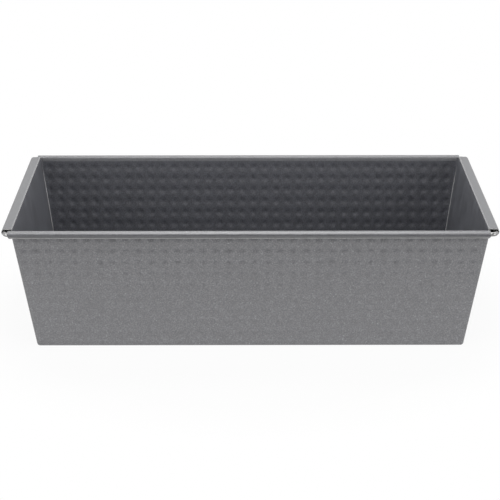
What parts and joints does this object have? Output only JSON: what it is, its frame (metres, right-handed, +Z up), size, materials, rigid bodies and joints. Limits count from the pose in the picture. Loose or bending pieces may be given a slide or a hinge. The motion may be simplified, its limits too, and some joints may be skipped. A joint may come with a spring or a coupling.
{
  "type": "rectangular cake pan",
  "caption": "Deep rectangular cake pan of coated sheet steel with dimpled long walls, plain leaning end walls and a rim turned over a wire.",
  "frame": {"origin": "on the surface that the pan stands on, under the middle of its base", "axes": "+X along the pan's length, +Y across it, +Z up"},
  "size_m": [0.25, 0.1384, 0.067],
  "materials": {
    "coated_sheet": "dark grey non-stick coating, satin, finely mottled",
    "rim_wire": "plain drawn steel wire, slightly dull"
  },
  "bodies": {
    "root": {"body_sheet": "coated_sheet", "left_end_sheet": "coated_sheet", "right_end_sheet": "coated_sheet", "rim_wire": "rim_wire"}
  },
  "joints": []
}
